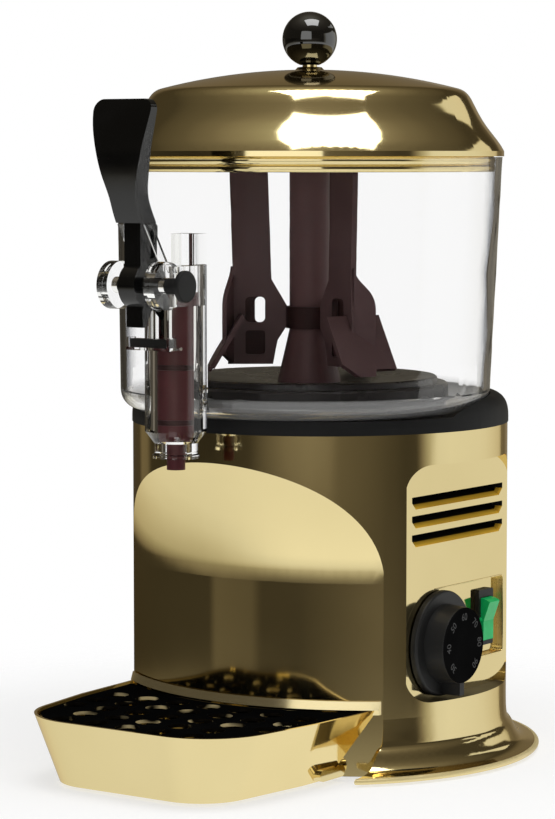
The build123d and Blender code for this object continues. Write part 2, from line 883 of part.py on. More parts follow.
# Gold lid with a plug skirt, its stud and its ball
lid_low = bowl_top + gap
lid_t = 2.5
skirt_r = bowl_r_top - bowl_wall - 1.9
crown_r = lid_r - 29
with BuildPart() as lid:
    with BuildSketch(bowl_section):
        with BuildLine():
            ThreePointArc(
                (stud_r + touch, lid_top), (0.565 * crown_r, lid_top - 3.6), (crown_r, lid_top - 11.6)
            )
            Spline(
                (crown_r, lid_top - 11.6),
                (lid_r - 22.4, lid_top - 15.6),
                (lid_r - 18.8, lid_top - 21.6),
                (lid_r - 11.2, lid_top - 34.8),
                (lid_r - 3.6, lid_top - 44.6),
                (lid_r, lid_low + 3.2),
            )
            Polyline(
                (lid_r, lid_low + 3.2),
                (lid_r, lid_low),
                (skirt_r, lid_low),
            )
            ThreePointArc((skirt_r, lid_low), (skirt_r + 1, lid_low - 2.5), (skirt_r, lid_low - 5))
            ThreePointArc((skirt_r, lid_low - 5), (skirt_r + 0.9, lid_low - 7.2), (skirt_r, lid_low - 9.4))
            Polyline(
                (skirt_r, lid_low - 9.4),
                (skirt_r - 2.2, lid_low - 9.4),
                (skirt_r - 2.2, lid_low + 3),
                (lid_r - 14.2, lid_top - 36),
                (lid_r - 21.4, lid_top - 23),
                (lid_r - 24.6, lid_top - 18),
                (crown_r - 1, lid_top - 14.4),
            )
            ThreePointArc(
                (crown_r - 1, lid_top - 14.4),
                (0.565 * crown_r, lid_top - 6.2),
                (stud_r + touch, lid_top - lid_t),
            )
            Line((stud_r + touch, lid_top - lid_t), (stud_r + touch, lid_top))
        make_face()
    revolve(axis=bowl_axis)

ball_z = lid_top + 19
with BuildPart() as knob_stud:
    with BuildSketch(bowl_section):
        with BuildLine():
            Polyline(
                (0, lid_top - 8),
                (8, lid_top - 8),
                (8, lid_top - lid_t - touch),
                (stud_r, lid_top - lid_t - touch),
                (stud_r, lid_top + touch),
                (9, lid_top + touch),
                (7.5, lid_top + 1.6),
                (stud_r, lid_top + 2),
                (stud_r, ball_z - 4),
                (0, ball_z - 4),
                close=True,
            )
        make_face()
    revolve(axis=bowl_axis)

with BuildPart() as lid_knob:
    with BuildSketch(bowl_section):
        with BuildLine():
            low = lid_top + 3
            edge = math.sqrt(ball_r**2 - (ball_z - low) ** 2)
            Line((0, ball_z + ball_r), (0, ball_z - 3))
            Line((0, ball_z - 3), (stud_r + touch, ball_z - 3))
            Line((stud_r + touch, ball_z - 3), (stud_r + touch, low))
            Line((stud_r + touch, low), (edge, low))
            ThreePointArc((edge, low), (ball_r, ball_z), (0, ball_z + ball_r))
        make_face()
    revolve(axis=bowl_axis)

# Dial with its spindle and thermostat
skirt_x = facet_x + 0.8
with BuildPart() as thermostat_knob:
    with BuildSketch(Plane.YZ.offset(skirt_x)):
        with Locations((dial_y, dial_z)):
            Circle(dial_r)
    extrude(amount=4.2)
    fillet(thermostat_knob.edges().group_by(Axis.X)[-1], 1.6)
    with BuildSketch(Plane.YZ.offset(skirt_x + 4.2)):
        with Locations((dial_y, dial_z)):
            Circle(dial_cap_r)
    extrude(amount=13.8, taper=5)
    fillet(thermostat_knob.edges().group_by(Axis.X)[-1], 1.4)
    with Locations((skirt_x + 9.5, dial_y, dial_z - dial_cap_r - 1.6)):
        Box(14, 5, 10)
    with BuildSketch(Plane.YZ.offset(skirt_x - 1)):
        with Locations((dial_y, dial_z)):
            Circle(spindle_r + fit)
    extrude(amount=12, mode=Mode.SUBTRACT)

case_x = facet_x - panel_deep - wall - touch
with BuildPart() as thermostat:
    with BuildSketch(Plane.YZ.offset(case_x)):
        with Locations((dial_y, dial_z)):
            RectangleRounded(34, 44, 3)
    extrude(amount=-26)
    with BuildSketch(Plane.YZ.offset(case_x - 16)):
        with Locations((dial_y, dial_z)):
            Circle(spindle_r + fit)
    extrude(amount=17, mode=Mode.SUBTRACT)

with BuildPart() as thermostat_spindle:
    with BuildSketch(Plane.YZ.offset(case_x - 15)):
        with Locations((dial_y, dial_z)):
            Circle(spindle_r)
    extrude(amount=skirt_x + 10 - case_x + 15)

# Switch: bezel and case, with a rocker on a cross axis
bezel_x = facet_x - panel_deep + touch
bezel_t = 3.0
rocker_x = bezel_x + 2
rocker_z = switch_z - 1
well_half = (switch_h - 7.4) / 2
pivot_pin_r = 1.6
pin_half = (switch_w - 2.4) / 2
with BuildPart() as switch_housing:
    with BuildSketch(Plane.YZ.offset(bezel_x)):
        with Locations((switch_y, switch_z)):
            RectangleRounded(switch_w, switch_h, 1)
    extrude(amount=bezel_t)
    with BuildSketch(Plane.YZ.offset(bezel_x)):
        with Locations((switch_y, switch_z)):
            Rectangle(switch_w - 2.4, switch_h - 5.4)
    extrude(amount=-26)
    with BuildSketch(Plane.YZ.offset(bezel_x - 8)):
        with Locations((switch_y, rocker_z)):
            Rectangle(switch_w - 4.4, 2 * well_half)
    extrude(amount=bezel_t + 9, mode=Mode.SUBTRACT)
    with BuildSketch(Plane.XZ.offset(-(switch_y - pin_half - 0.2))):
        with Locations((rocker_x, rocker_z)):
            Circle(pivot_pin_r + fit)
    extrude(amount=-2 * pin_half - 0.4, mode=Mode.SUBTRACT)

# Rocker with round ends about its two side pins
end_r = well_half - gap


def on_end(degrees, sign):
    angle = math.radians(degrees)
    return (rocker_x + end_r * math.sin(angle), rocker_z + sign * end_r * math.cos(angle))


with BuildPart() as rocker:
    with BuildSketch(Plane.XZ.offset(-(switch_y - (switch_w - 5.2) / 2))):
        with BuildLine():
            Polyline((rocker_x - 4, rocker_z + 7), (rocker_x - 4, rocker_z - 6), on_end(-8, -1))
            ThreePointArc(on_end(-8, -1), on_end(2, -1), on_end(12, -1))
            Polyline(on_end(12, -1), (rocker_x + 2.9, rocker_z - 1), on_end(33, 1))
            ThreePointArc(on_end(33, 1), on_end(18, 1), on_end(3, 1))
            Line(on_end(3, 1), (rocker_x - 4, rocker_z + 7))
        make_face()
    extrude(amount=-(switch_w - 5.2))
    with BuildSketch(Plane.XZ.offset(-(switch_y - pin_half))):
        with Locations((rocker_x, rocker_z)):
            Circle(pivot_pin_r)
    extrude(amount=-2 * pin_half)

# Terminals and the cable gland at the back
with BuildPart() as terminal_block:
    with Locations((40, body_y + 62, floor_low + floor_t + 9)):
        Box(44, 20, 18 - 2 * touch)
    with BuildSketch(Plane.XY.offset(floor_low + floor_t + 12)):
        with Locations((40, body_y + 62)):
            with GridLocations(13, 1, 3, 1):
                Circle(4)
    extrude(amount=10, mode=Mode.SUBTRACT)

with BuildPart() as cord_gland:
    with BuildSketch(Plane.XZ.offset(-(body_y + body_r + 0.4))):
        with Locations((0, 55)):
            RegularPolygon(11, 6)
    extrude(amount=-6)
    with BuildSketch(Plane.XZ.offset(-(body_y + body_r - 8))):
        with Locations((0, 55)):
            Circle(6.8)
    extrude(amount=-24)
    with BuildSketch(Plane.XZ.offset(-(body_y + body_r - 10))):
        with Locations((0, 55)):
            Circle(4)
    extrude(amount=-40, mode=Mode.SUBTRACT)


# Outline of the tray at one height, from the rim (t 1) to the floor (t 0): a straight front, two bends on each
# side and a hollow back that follows the recess
def tray_at(z, inset):
    t = (z - tray_low) / (tray_rim - tray_low)
    front = axis_y - tray_reach + 12 * (1 - t) + inset
    toe = 75 - 14 * (1 - t) - inset
    half = 88.2 - 17 * (1 - t) - inset
    half_y = axis_y - 120 + 10 * (1 - t)
    rear = recess_half - 2.3 - 20 * (1 - t) - inset
    back_r = recess_r + 0.8 + 10 * (1 - t) + inset
    rear_y = recess_y - math.sqrt(back_r**2 - rear**2)
    with BuildSketch(Plane.XY.offset(z)) as face:
        with BuildLine():
            Polyline(
                (-rear, rear_y), (-half, half_y), (-toe, front), (toe, front), (half, half_y), (rear, rear_y)
            )
            ThreePointArc((rear, rear_y), (0, recess_y - back_r), (-rear, rear_y))
        make_face()
        fillet(face.vertices().group_by(Axis.Y)[0], 45 - 14 * (1 - t) - inset)
        bends = [v for v in face.vertices() if abs(v.Y - half_y) < 0.01]
        fillet(bends, 60 - inset)
    return face.sketch


tray_outer = [tray_at(tray_low, 0), tray_at(tray_rim, 0)]
tray_inner = [tray_at(tray_low + 2, tray_wall), tray_at(tray_rim + 0.01, tray_wall)]
post_spots = [(59, axis_y - 157), (-59, axis_y - 157), (59, axis_y - 97), (-59, axis_y - 97)]
lip_half = recess_half - 0.6
with BuildPart() as tray_hollow:
    add(tray_inner)
    loft(ruled=True)

# Raised lip along the tray's back, with a face that leans back
lip_back = recess_r + 0.8
with BuildPart() as tray_lip_form:
    with BuildSketch(Plane.XZ.offset(-recess_y)):
        with BuildLine():
            Polyline(
                (lip_back, tray_rim - 3),
                (lip_back + tray_wall, tray_rim - 3),
                (lip_back + tray_wall + 0.5, tray_rim),
                (lip_back + 0.6, tray_rim + tray_lip),
                (lip_back, tray_rim + tray_lip),
                close=True,
            )
        make_face()
    revolve(axis=Axis((0, recess_y, 0), (0, 0, 1)))
    with Locations((0, axis_y - 100, tray_rim)):
        Box(2 * lip_half, 120, 40, mode=Mode.INTERSECT)

with BuildPart() as drip_tray:
    add(tray_outer)
    loft(ruled=True)
    add(tray_hollow.part, mode=Mode.SUBTRACT)
    add(tray_lip_form.part)
    with BuildSketch(Plane.XY.offset(tray_low + 1)):
        with Locations(*post_spots):
            Circle(3)
    extrude(amount=grille_top - grille_t - gap - tray_low - 1)
    with BuildSketch(Plane.YZ.offset(-79)):
        with Locations((axis_y - 90, tray_low + 5)):
            SlotOverall(26, 7)
    extrude(amount=12)
    with BuildSketch(Plane.YZ.offset(67)):
        with Locations((axis_y - 90, tray_low + 5)):
            SlotOverall(26, 7)
    extrude(amount=12)

grille_face = tray_at(grille_top - grille_t, tray_wall + 0.9)
with BuildPart() as drip_grille:
    add(grille_face)
    extrude(amount=grille_t)
    with BuildSketch(Plane.XY.offset(grille_top - grille_t)):
        with Locations((0, axis_y - 147)):
            with GridLocations(23.5, 20, 5, 5):
                Circle(7.4)
        with Locations((0, axis_y - 127)):
            with GridLocations(141, 20, 2, 3):
                Circle(7.4)
    extrude(amount=grille_t, mode=Mode.SUBTRACT)

for piece, name in (
    (body_shell, "body_shell"),
    (deck_ring, "deck_ring"),
    (base_plate, "base_plate"),
    (feet, "feet"),
    (base_screws, "base_screws"),
    (motor_bracket, "motor_bracket"),
    (gearmotor, "gearmotor"),
    (motor_screws, "motor_screws"),
    (water_bath, "water_bath"),
    (heating_element, "heating_element"),
    (cut_out, "cut_out"),
    (hot_plate, "hot_plate"),
    (bowl_seal, "bowl_seal"),
    (column, "column"),
    (shaft_bushes, "shaft_bushes"),
    (drive_shaft, "drive_shaft"),
    (stirrer, "stirrer"),
    (bowl, "bowl"),
    (lever_stop, "lever_stop"),
    (tap_piston, "tap_piston"),
    (piston_rings, "piston_rings"),
    (tap_lever, "tap_lever"),
    (lever_pin, "lever_pin"),
    (lid, "lid"),
    (knob_stud, "knob_stud"),
    (lid_knob, "lid_knob"),
    (thermostat_knob, "thermostat_knob"),
    (thermostat, "thermostat"),
    (thermostat_spindle, "thermostat_spindle"),
    (switch_housing, "switch_housing"),
    (rocker, "rocker"),
    (terminal_block, "terminal_block"),
    (cord_gland, "cord_gland"),
    (drip_tray, "drip_tray"),
    (drip_grille, "drip_grille"),
):
    save(piece, name)
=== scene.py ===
import bpy
import math
from mathutils import Matrix, Vector


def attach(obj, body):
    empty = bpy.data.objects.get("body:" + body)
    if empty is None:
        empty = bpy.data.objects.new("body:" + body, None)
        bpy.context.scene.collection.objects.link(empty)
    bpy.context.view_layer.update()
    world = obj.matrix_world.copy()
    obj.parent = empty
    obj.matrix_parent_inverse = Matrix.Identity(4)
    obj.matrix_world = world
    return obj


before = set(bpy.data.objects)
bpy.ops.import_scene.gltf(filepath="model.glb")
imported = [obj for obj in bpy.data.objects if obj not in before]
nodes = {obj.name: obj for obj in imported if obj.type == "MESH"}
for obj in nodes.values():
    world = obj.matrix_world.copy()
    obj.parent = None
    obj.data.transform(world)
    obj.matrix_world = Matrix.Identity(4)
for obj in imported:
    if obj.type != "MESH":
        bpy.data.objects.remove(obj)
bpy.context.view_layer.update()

# The front is at -Y. The bowl's axis stands at AXIS_Y and the body's a little behind it.
AXIS_Y = 0.0255
BODY_BEHIND = 0.012


# Building blocks of the materials

CLOUD = (0.3, 0.7)  # the part of a noise's range that is used
GRAIN_SCALE, GRAIN_DETAIL, GRAIN_DEPTH = 900.0, 2.0, 0.0003


def grey(level):
    return (level, level, level)


def new_material(name):
    material = bpy.data.materials.new(name)
    material.use_nodes = True
    tree = material.node_tree
    return material, tree, tree.nodes["Principled BSDF"]


def add_noise(tree, scale, detail=3.0):
    coords = tree.nodes.new("ShaderNodeTexCoord")
    noise = tree.nodes.new("ShaderNodeTexNoise")
    noise.inputs["Scale"].default_value = scale
    noise.inputs["Detail"].default_value = detail
    tree.links.new(coords.outputs["Object"], noise.inputs["Vector"])
    return noise.outputs["Fac"]


def add_place(tree):
    """The place on the piece, as outputs X, Y and Z."""
    coords = tree.nodes.new("ShaderNodeTexCoord")
    split = tree.nodes.new("ShaderNodeSeparateXYZ")
    tree.links.new(coords.outputs["Object"], split.inputs[0])
    return split.outputs


def add_ramp(tree, factor, stops):
    """Colours along a factor, from pairs of a position and a colour in rising order."""
    node = tree.nodes.new("ShaderNodeValToRGB")
    elements = node.color_ramp.elements
    for element, (position, colour) in zip(elements, (stops[0], stops[-1])):
        element.position = position
        element.color = (*colour, 1)
    for position, colour in stops[1:-1]:
        elements.new(position).color = (*colour, 1)
    tree.links.new(factor, node.inputs["Fac"])
    return node.outputs["Color"]


def add_range(tree, source, start, end, low, high, curve="LINEAR"):
    """Maps the range from start to end of a source onto low to high."""
    node = tree.nodes.new("ShaderNodeMapRange")
    node.interpolation_type = curve
    node.inputs["From Min"].default_value = start
    node.inputs["From Max"].default_value = end
    node.inputs["To Min"].default_value = low
    node.inputs["To Max"].default_value = high
    tree.links.new(source, node.inputs["Value"])
    return node.outputs["Result"]


def add_grain(tree, shader, strength):
    bump = tree.nodes.new("ShaderNodeBump")
    bump.inputs["Strength"].default_value = strength
    bump.inputs["Distance"].default_value = GRAIN_DEPTH
    tree.links.new(add_noise(tree, GRAIN_SCALE, GRAIN_DETAIL), bump.inputs["Height"])
    tree.links.new(bump.outputs["Normal"], shader.inputs["Normal"])


def surface(name, low, high, rough, scale=40.0, metallic=0.0, bump=0.0, specular=0.5, edge=grey(1)):
    """A plain finish: two close shades in a soft cloud, a roughness that varies with it and a fine grain."""
    material, tree, shader = new_material(name)
    cloud = add_noise(tree, scale)
    shades = add_ramp(tree, cloud, ((CLOUD[0], low), (CLOUD[1], high)))
    tree.links.new(shades, shader.inputs["Base Color"])
    tree.links.new(add_range(tree, cloud, *CLOUD, *rough), shader.inputs["Roughness"])
    shader.inputs["Metallic"].default_value = metallic
    shader.inputs["Specular IOR Level"].default_value = specular
    shader.inputs["Specular Tint"].default_value = (*edge, 1)
    if bump:
        add_grain(tree, shader, bump)
    return material


# Gold, polished on the outside and duller in hollows. Seen edge on it turns paler but stays warm.
GOLD_EDGE = (0.92, 0.82, 0.66)
gold = surface("gold_mirror", (0.74, 0.62, 0.325), (0.79, 0.665, 0.36), (0.06, 0.09),
               scale=9.0, metallic=1.0, edge=GOLD_EDGE)
gold_satin = surface("gold_satin", (0.72, 0.58, 0.28), (0.80, 0.66, 0.33), (0.24, 0.32),
                     metallic=0.8, edge=GOLD_EDGE)
gold_lip = surface("gold_lip", (0.76, 0.64, 0.36), (0.82, 0.70, 0.42), (0.12, 0.17),
                   metallic=0.9, edge=GOLD_EDGE)
# A near-black copy of the gold: painted shade on the ledge below the control panel
gold_painted_shade = surface("gold_painted_shade", (0.06, 0.044, 0.02), (0.08, 0.06, 0.03), (0.4, 0.5),
                     metallic=0.3, specular=0.2)
# A paler, duller copy of the gold that renders lighter: painted light on the flange's rim and the tray's
# floor
gold_painted_light = surface("gold_painted_light", (0.76, 0.62, 0.30), (0.84, 0.70, 0.36), (0.34, 0.42), metallic=0.3)

# Black plastic and rubber
black_matt = surface("black_matt", grey(0.009), grey(0.013), (0.42, 0.52), bump=0.12, specular=0.3)
black_deck = surface("black_deck", grey(0.011), grey(0.015), (0.45, 0.55), bump=0.12, specular=0.1)
black_flat = surface("black_flat", grey(0.002), grey(0.003), (0.3, 0.4), bump=0.05, specular=0.0)
# Satin black for the lever's stop, and painted shade on the walls and ceilings of the louvres
black_satin = surface("black_satin", grey(0.008), grey(0.013), (0.28, 0.36), bump=0.1)
black_lever = surface("black_lever", grey(0.002), grey(0.004), (0.12, 0.18))
pin_grey = surface("pin_grey", grey(0.010), grey(0.014), (0.4, 0.5), bump=0.1, specular=0.2)
# A darker, unreflecting copy of the knob's black: painted shade on the dial's front
dial_face_painted_shade = surface("dial_face_painted_shade", grey(0.004), grey(0.006), (0.4, 0.5), bump=0.05, specular=0.0)
number_grey = surface("number_grey", grey(0.055), grey(0.075), (0.5, 0.6), specular=0.1)
rubber = surface("rubber_black", grey(0.012), grey(0.02), (0.7, 0.8), bump=0.2)

# The ball's lacquer mirrors more than plain plastic
LACQUER_IOR = 1.95
black_gloss = surface("black_gloss", grey(0.001), grey(0.002), (0.03, 0.06))
black_gloss.node_tree.nodes["Principled BSDF"].inputs["IOR"].default_value = LACQUER_IOR

# Brown plastic of the stirrer, a darker brown on its guide ring and as painted shade in its arms' pockets,
# the column and the plunger, and the dark plate they stand on
brown = surface("brown_plastic", (0.062, 0.034, 0.034), (0.074, 0.042, 0.042), (0.34, 0.42),
                bump=0.03, specular=0.15)
# Darker brown on the guide ring, and painted shade in the pockets of the arms
brown_deep_and_painted_shade = surface("brown_deep_and_painted_shade", (0.018, 0.007, 0.007), (0.026, 0.010, 0.010), (0.34, 0.42),
                     bump=0.03, specular=0.1)
brown_red = surface("brown_red", (0.074, 0.018, 0.021), (0.090, 0.023, 0.027), (0.30, 0.38),
                    bump=0.03, specular=0.15)
ring_brown = surface("ring_brown", (0.030, 0.010, 0.012), (0.038, 0.013, 0.015), (0.4, 0.5),
                     bump=0.05, specular=0.15)
column_dark = surface("column_dark", (0.072, 0.035, 0.035), (0.088, 0.044, 0.044), (0.34, 0.42),
                      bump=0.03, specular=0.15)
plate_dark = surface("plate_dark", (0.014, 0.012, 0.012), (0.020, 0.017, 0.017), (0.25, 0.33),
                     bump=0.05, specular=0.25)

# The rocker and the parts inside
green = surface("rocker_green", (0.008, 0.50, 0.13), (0.014, 0.62, 0.18), (0.2, 0.28),
                scale=120.0, specular=0.3)
steel = surface("steel_plain", (0.52, 0.52, 0.51), (0.60, 0.60, 0.59), (0.22, 0.34), metallic=1.0, bump=0.05)
motor_grey = surface("motor_grey", grey(0.20), grey(0.26), (0.4, 0.5), bump=0.1)
pale = surface("pale_plastic", (0.72, 0.71, 0.68), (0.80, 0.79, 0.76), (0.4, 0.5), bump=0.05)


def louvre_floor_painted_light_and_shade():
    """Painted light and shade on a louvre's floor: a bright unmetallic gold by the mouth as a painted
    reflection, and dark further in as painted shade.
    """
    material, tree, shader = new_material("louvre_floor_painted_light_and_shade")
    mouth = add_range(tree, add_place(tree)["X"], 0.0974, 0.0980, 0.0, 1.0)
    shades = add_ramp(tree, mouth, ((0.0, (0.006, 0.005, 0.004)), (1.0, (1.0, 0.58, 0.05))))
    tree.links.new(shades, shader.inputs["Base Color"])
    rough = add_range(tree, add_noise(tree, 60.0), *CLOUD, 0.3, 0.4)
    tree.links.new(rough, shader.inputs["Roughness"])
    return material


def hole_glint():
    """Rims of the grille's holes: painted glints, pale in random patches where light from the tray would
    catch them, dark elsewhere.
    """
    material, tree, shader = new_material("hole_glint")
    patches = add_noise(tree, 45.0, 1.0)
    shades = add_ramp(tree, patches, ((0.57, (0.004, 0.003, 0.002)), (0.65, (0.80, 0.66, 0.36))))
    tree.links.new(shades, shader.inputs["Base Color"])
    rough = add_range(tree, add_noise(tree, 60.0), *CLOUD, 0.3, 0.4)
    tree.links.new(rough, shader.inputs["Roughness"])
    shader.inputs["Specular IOR Level"].default_value = 0.1
    return material


def clear_plastic(name, start, end, dark, ior, clarity=1.0, face_on=0.99, coat=0.0):
    """Clear plastic, bright face on and darkened towards its edges as seen: painted shade for the dark that
    light running along inside it shows there.
    """
    material, tree, shader = new_material(name)
    edge = tree.nodes.new("ShaderNodeLayerWeight")
    edge.inputs["Blend"].default_value = 0.5
    # Painted shade at the edges, a little cool
    painted_edge_shade = (dark, 1.05 * dark, 1.18 * dark)
    tint = add_ramp(tree, edge.outputs["Facing"], ((start, grey(face_on)), (end, painted_edge_shade)))
    tree.links.new(tint, shader.inputs["Base Color"])
    rough = add_range(tree, add_noise(tree, 6.0), *CLOUD, 0.0, 0.02)
    tree.links.new(rough, shader.inputs["Roughness"])
    shader.inputs["Transmission Weight"].default_value = clarity
    shader.inputs["IOR"].default_value = ior
    shader.inputs["Coat Weight"].default_value = coat
    shader.inputs["Coat Roughness"].default_value = 0.02
    shader.inputs["Coat IOR"].default_value = 1.7
    return material


def painted_foot_sheen(material):
    """Makes a clear plastic half milky at the bowl's foot, a painted pale sheen, and clear further up the
    wall.
    """
    tree = material.node_tree
    rise = add_range(tree, add_place(tree)["Z"], 0.222, 0.231, 0.5, 1.0)
    tree.links.new(rise, tree.nodes["Principled BSDF"].inputs["Transmission Weight"])


louvre = louvre_floor_painted_light_and_shade()
glint = hole_glint()
clear = clear_plastic("clear_plastic", 0.52, 0.74, 0.08, 1.45)
clear_wall = clear_plastic("clear_wall", 0.66, 0.82, 0.20, 1.08, face_on=0.968)
clear_side = clear_plastic("clear_side", 0.66, 0.82, 0.20, 1.08, coat=1.0)
# Part milky: a painted pale sheen on the fillets of the bowl's foot
clear_foot = clear_plastic("clear_foot", 0.80, 0.95, 0.30, 1.45, clarity=0.93)
clear_back = clear_plastic("clear_back", 0.80, 0.95, 0.50, 1.02, face_on=0.968)
# Painted pale sheen on the back of the bowl's foot
painted_foot_sheen(clear_back)

looks = {
    "body_shell": gold, "lid": gold, "knob_stud": gold, "drip_tray": gold,
    "deck_ring": black_deck, "drip_grille": black_flat, "switch_housing": black_matt,
    "thermostat_knob": black_matt, "cord_gland": black_matt, "lid_knob": black_gloss,
    "tap_lever": black_lever, "lever_pin": pin_grey, "lever_stop": black_satin,
    "bowl": clear, "stirrer": brown, "column": column_dark, "hot_plate": plate_dark,
    "tap_piston": brown_red, "piston_rings": ring_brown, "rocker": green,
    "feet": rubber, "bowl_seal": rubber,
    "base_plate": steel, "base_screws": steel, "motor_screws": steel, "motor_bracket": steel,
    "drive_shaft": steel, "water_bath": steel, "heating_element": steel, "thermostat_spindle": steel,
    "gearmotor": motor_grey, "shaft_bushes": pale, "terminal_block": pale, "thermostat": pale,
    "cut_out": pale,
}
for name, material in looks.items():
    mesh = nodes[name].data
    mesh.materials.clear()
    mesh.materials.append(material)


# Faces with a finish of their own, and faces with shade or light painted on. Each test takes the middle of a
# face, with y from the bowl's axis, and how far the face looks up, from -1 to 1.

BOWL_REACH = 0.1206  # takes in the bowl's wall and leaves out the tap
FOOT_TOP = 0.229
LEDGE_Z = 0.044
FLANGE_RIM = 0.1364
ARM_ANGLES = (98.5, 218.5, 338.5)
POCKETS = ((0.2565, 0.0076), (0.277, 0.0081))  # middle height and half height


def paint(name, material, test):
    """Gives the faces of a node that pass a test a material of their own: a finish, or a painted shade or
    light.
    """
    mesh = nodes[name].data
    mesh.materials.append(material)
    index = len(mesh.materials) - 1
    for face in mesh.polygons:
        x, y, z = face.center
        if test(x, y - AXIS_Y, z, face.normal.z):
            face.material_index = index


def in_louvre(x, y, z):
    return 0.0905 < x < 0.1024 and abs(y - BODY_BEHIND) < 0.0527 and 0.137 < z < 0.169


def louvre_side(x, y, z, up):
    return in_louvre(x, y, z) and up <= 0.3


def louvre_bottom(x, y, z, up):
    return in_louvre(x, y, z) and up > 0.3


def field_side(x, y, z, up):
    """Walls of the sunk field around the dial and the switch."""
    return 0.0985 < x < 0.1023 and abs(y - 0.02) < 0.06 and z < 0.115


def field_ledge(x, y, z, up):
    """The ledge below the control panel, painted with a near-black copy of the gold as shade."""
    return up > 0.9 and abs(z - LEDGE_Z) < 0.0005 and x > 0.1


def flange_rim(x, y, z, up):
    return math.hypot(x, y - BODY_BEHIND) > FLANGE_RIM and 0.0016 < z < 0.0062 and up > -0.2


def bowl_wall(x, y, z, up):
    return math.hypot(x, y) < BOWL_REACH


def bowl_panel_side(x, y, z, up):
    """The outside of the bowl above the control panel."""
    return up < 0 and bowl_wall(x, y, z, up) and 68 < math.degrees(math.atan2(x, -y)) < 100


def bowl_foot(x, y, z, up):
    return bowl_wall(x, y, z, up) and z < FOOT_TOP


def bowl_back(x, y, z, up):
    """The foot and the lowest part of the wall at the back."""
    return y - 0.7 * x > 0.02 and z < 0.24


def hole_rim(x, y, z, up):
    return abs(up) < 0.5 and y > -0.195 and abs(x) < 0.08


def tray_bottom(x, y, z, up):
    return up > 0.9 and z < 0.006


def tray_lip(x, y, z, up):
    return up < 0.9 and z > 0.0427


def dial_front(x, y, z, up):
    return x > 0.1205


def guide_ring(x, y, z, up):
    """The stirrer's guide ring around the column."""
    return math.hypot(x, y) < 0.0151 and z < 0.28


def arm_pocket_painted_shade(x, y, z, up):
    """Pockets in both faces of the stirrer's arms, painted a darker brown as shade."""
    for degrees in ARM_ANGLES:
        a = math.radians(degrees)
        out = x * math.cos(a) + y * math.sin(a)
        side = y * math.cos(a) - x * math.sin(a)
        if 0.0277 < out < 0.0403 and abs(side) < 0.0019:
            return any(abs(z - middle) < half for middle, half in POCKETS)
    return False


# Later rows go over earlier ones
# Painted shade: the louvres' walls and ceilings in black
paint("body_shell", black_satin, louvre_side)
# Painted reflection by the louvres' mouths and painted shade further in
paint("body_shell", louvre, louvre_bottom)
paint("body_shell", gold_satin, field_side)
paint("bowl", clear_wall, bowl_wall)
paint("bowl", clear_side, bowl_panel_side)
paint("bowl", clear_foot, bowl_foot)
paint("bowl", clear_back, bowl_back)
# Painted shade on the ledge below the control panel
paint("body_shell", gold_painted_shade, field_ledge)
# Painted light on the rim of the flange
paint("body_shell", gold_painted_light, flange_rim)
# Painted glints on some of the grille's hole rims
paint("drip_grille", glint, hole_rim)
# Painted light on the tray's floor, seen through the grille's holes
paint("drip_tray", gold_painted_light, tray_bottom)
paint("drip_tray", gold_lip, tray_lip)
# Painted shade on the dial's front face
paint("thermostat_knob", dial_face_painted_shade, dial_front)
paint("stirrer", brown_deep_and_painted_shade, guide_ring)
# Painted shade in the pockets of the stirrer's arms
paint("stirrer", brown_deep_and_painted_shade, arm_pocket_painted_shade)


# Numbers moulded around the dial's face
DIAL = Vector((0.1213, AXIS_Y - 0.0106, 0.0772))
NUMBER_RING, NUMBER_SIZE, NUMBER_HEIGHT = 0.0172, 0.0062, 0.00012
for step in range(7):
    angle = math.radians(45 * step - 135)
    number = bpy.data.curves.new("dial_number_%d" % step, "FONT")
    number.body = str(30 + 10 * step)
    number.size = NUMBER_SIZE
    number.extrude = NUMBER_HEIGHT
    number.align_x = "CENTER"
    number.align_y = "CENTER"
    number.materials.append(number_grey)
    piece = bpy.data.objects.new(number.name, number)
    bpy.context.scene.collection.objects.link(piece)
    outward = Vector((0, math.sin(angle), math.cos(angle)))
    across = Vector((0, math.cos(angle), -math.sin(angle)))
    turn = Matrix((across, outward, (1, 0, 0))).transposed()
    piece.matrix_world = Matrix.Translation(DIAL + NUMBER_RING * outward) @ turn.to_4x4()
    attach(piece, "dial")

# Gold bead along the edge of the sunk field: over the dial, down the back and forward below it
BEAD_X, BEAD_LOW, BEAD_TOP = 0.1025, 0.0619, 0.1105
BEAD_BACK, BEAD_CORNER, BEAD_RADIUS = AXIS_Y + 0.066, 0.003, 0.0004
bead_line = [(DIAL.y - 0.004, BEAD_TOP)]
for centre_z, start in ((BEAD_TOP - BEAD_CORNER, 90), (BEAD_LOW + BEAD_CORNER, 0)):
    for k in range(5):
        angle = math.radians(start - 22.5 * k)
        along = BEAD_BACK - BEAD_CORNER + BEAD_CORNER * math.cos(angle)
        bead_line.append((along, centre_z + BEAD_CORNER * math.sin(angle)))
bead_line.append((DIAL.y + 0.022, BEAD_LOW))
bead_data = bpy.data.curves.new("field_bead", "CURVE")
bead_data.dimensions = "3D"
bead_data.bevel_depth = BEAD_RADIUS
bead_data.bevel_resolution = 2
spline = bead_data.splines.new("POLY")
spline.points.add(len(bead_line) - 1)
for point, (y, z) in zip(spline.points, bead_line):
    point.co = (BEAD_X, y, z, 1)
bead_data.materials.append(gold)
bead = bpy.data.objects.new("field_bead", bead_data)
bpy.context.scene.collection.objects.link(bead)
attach(bead, "base")

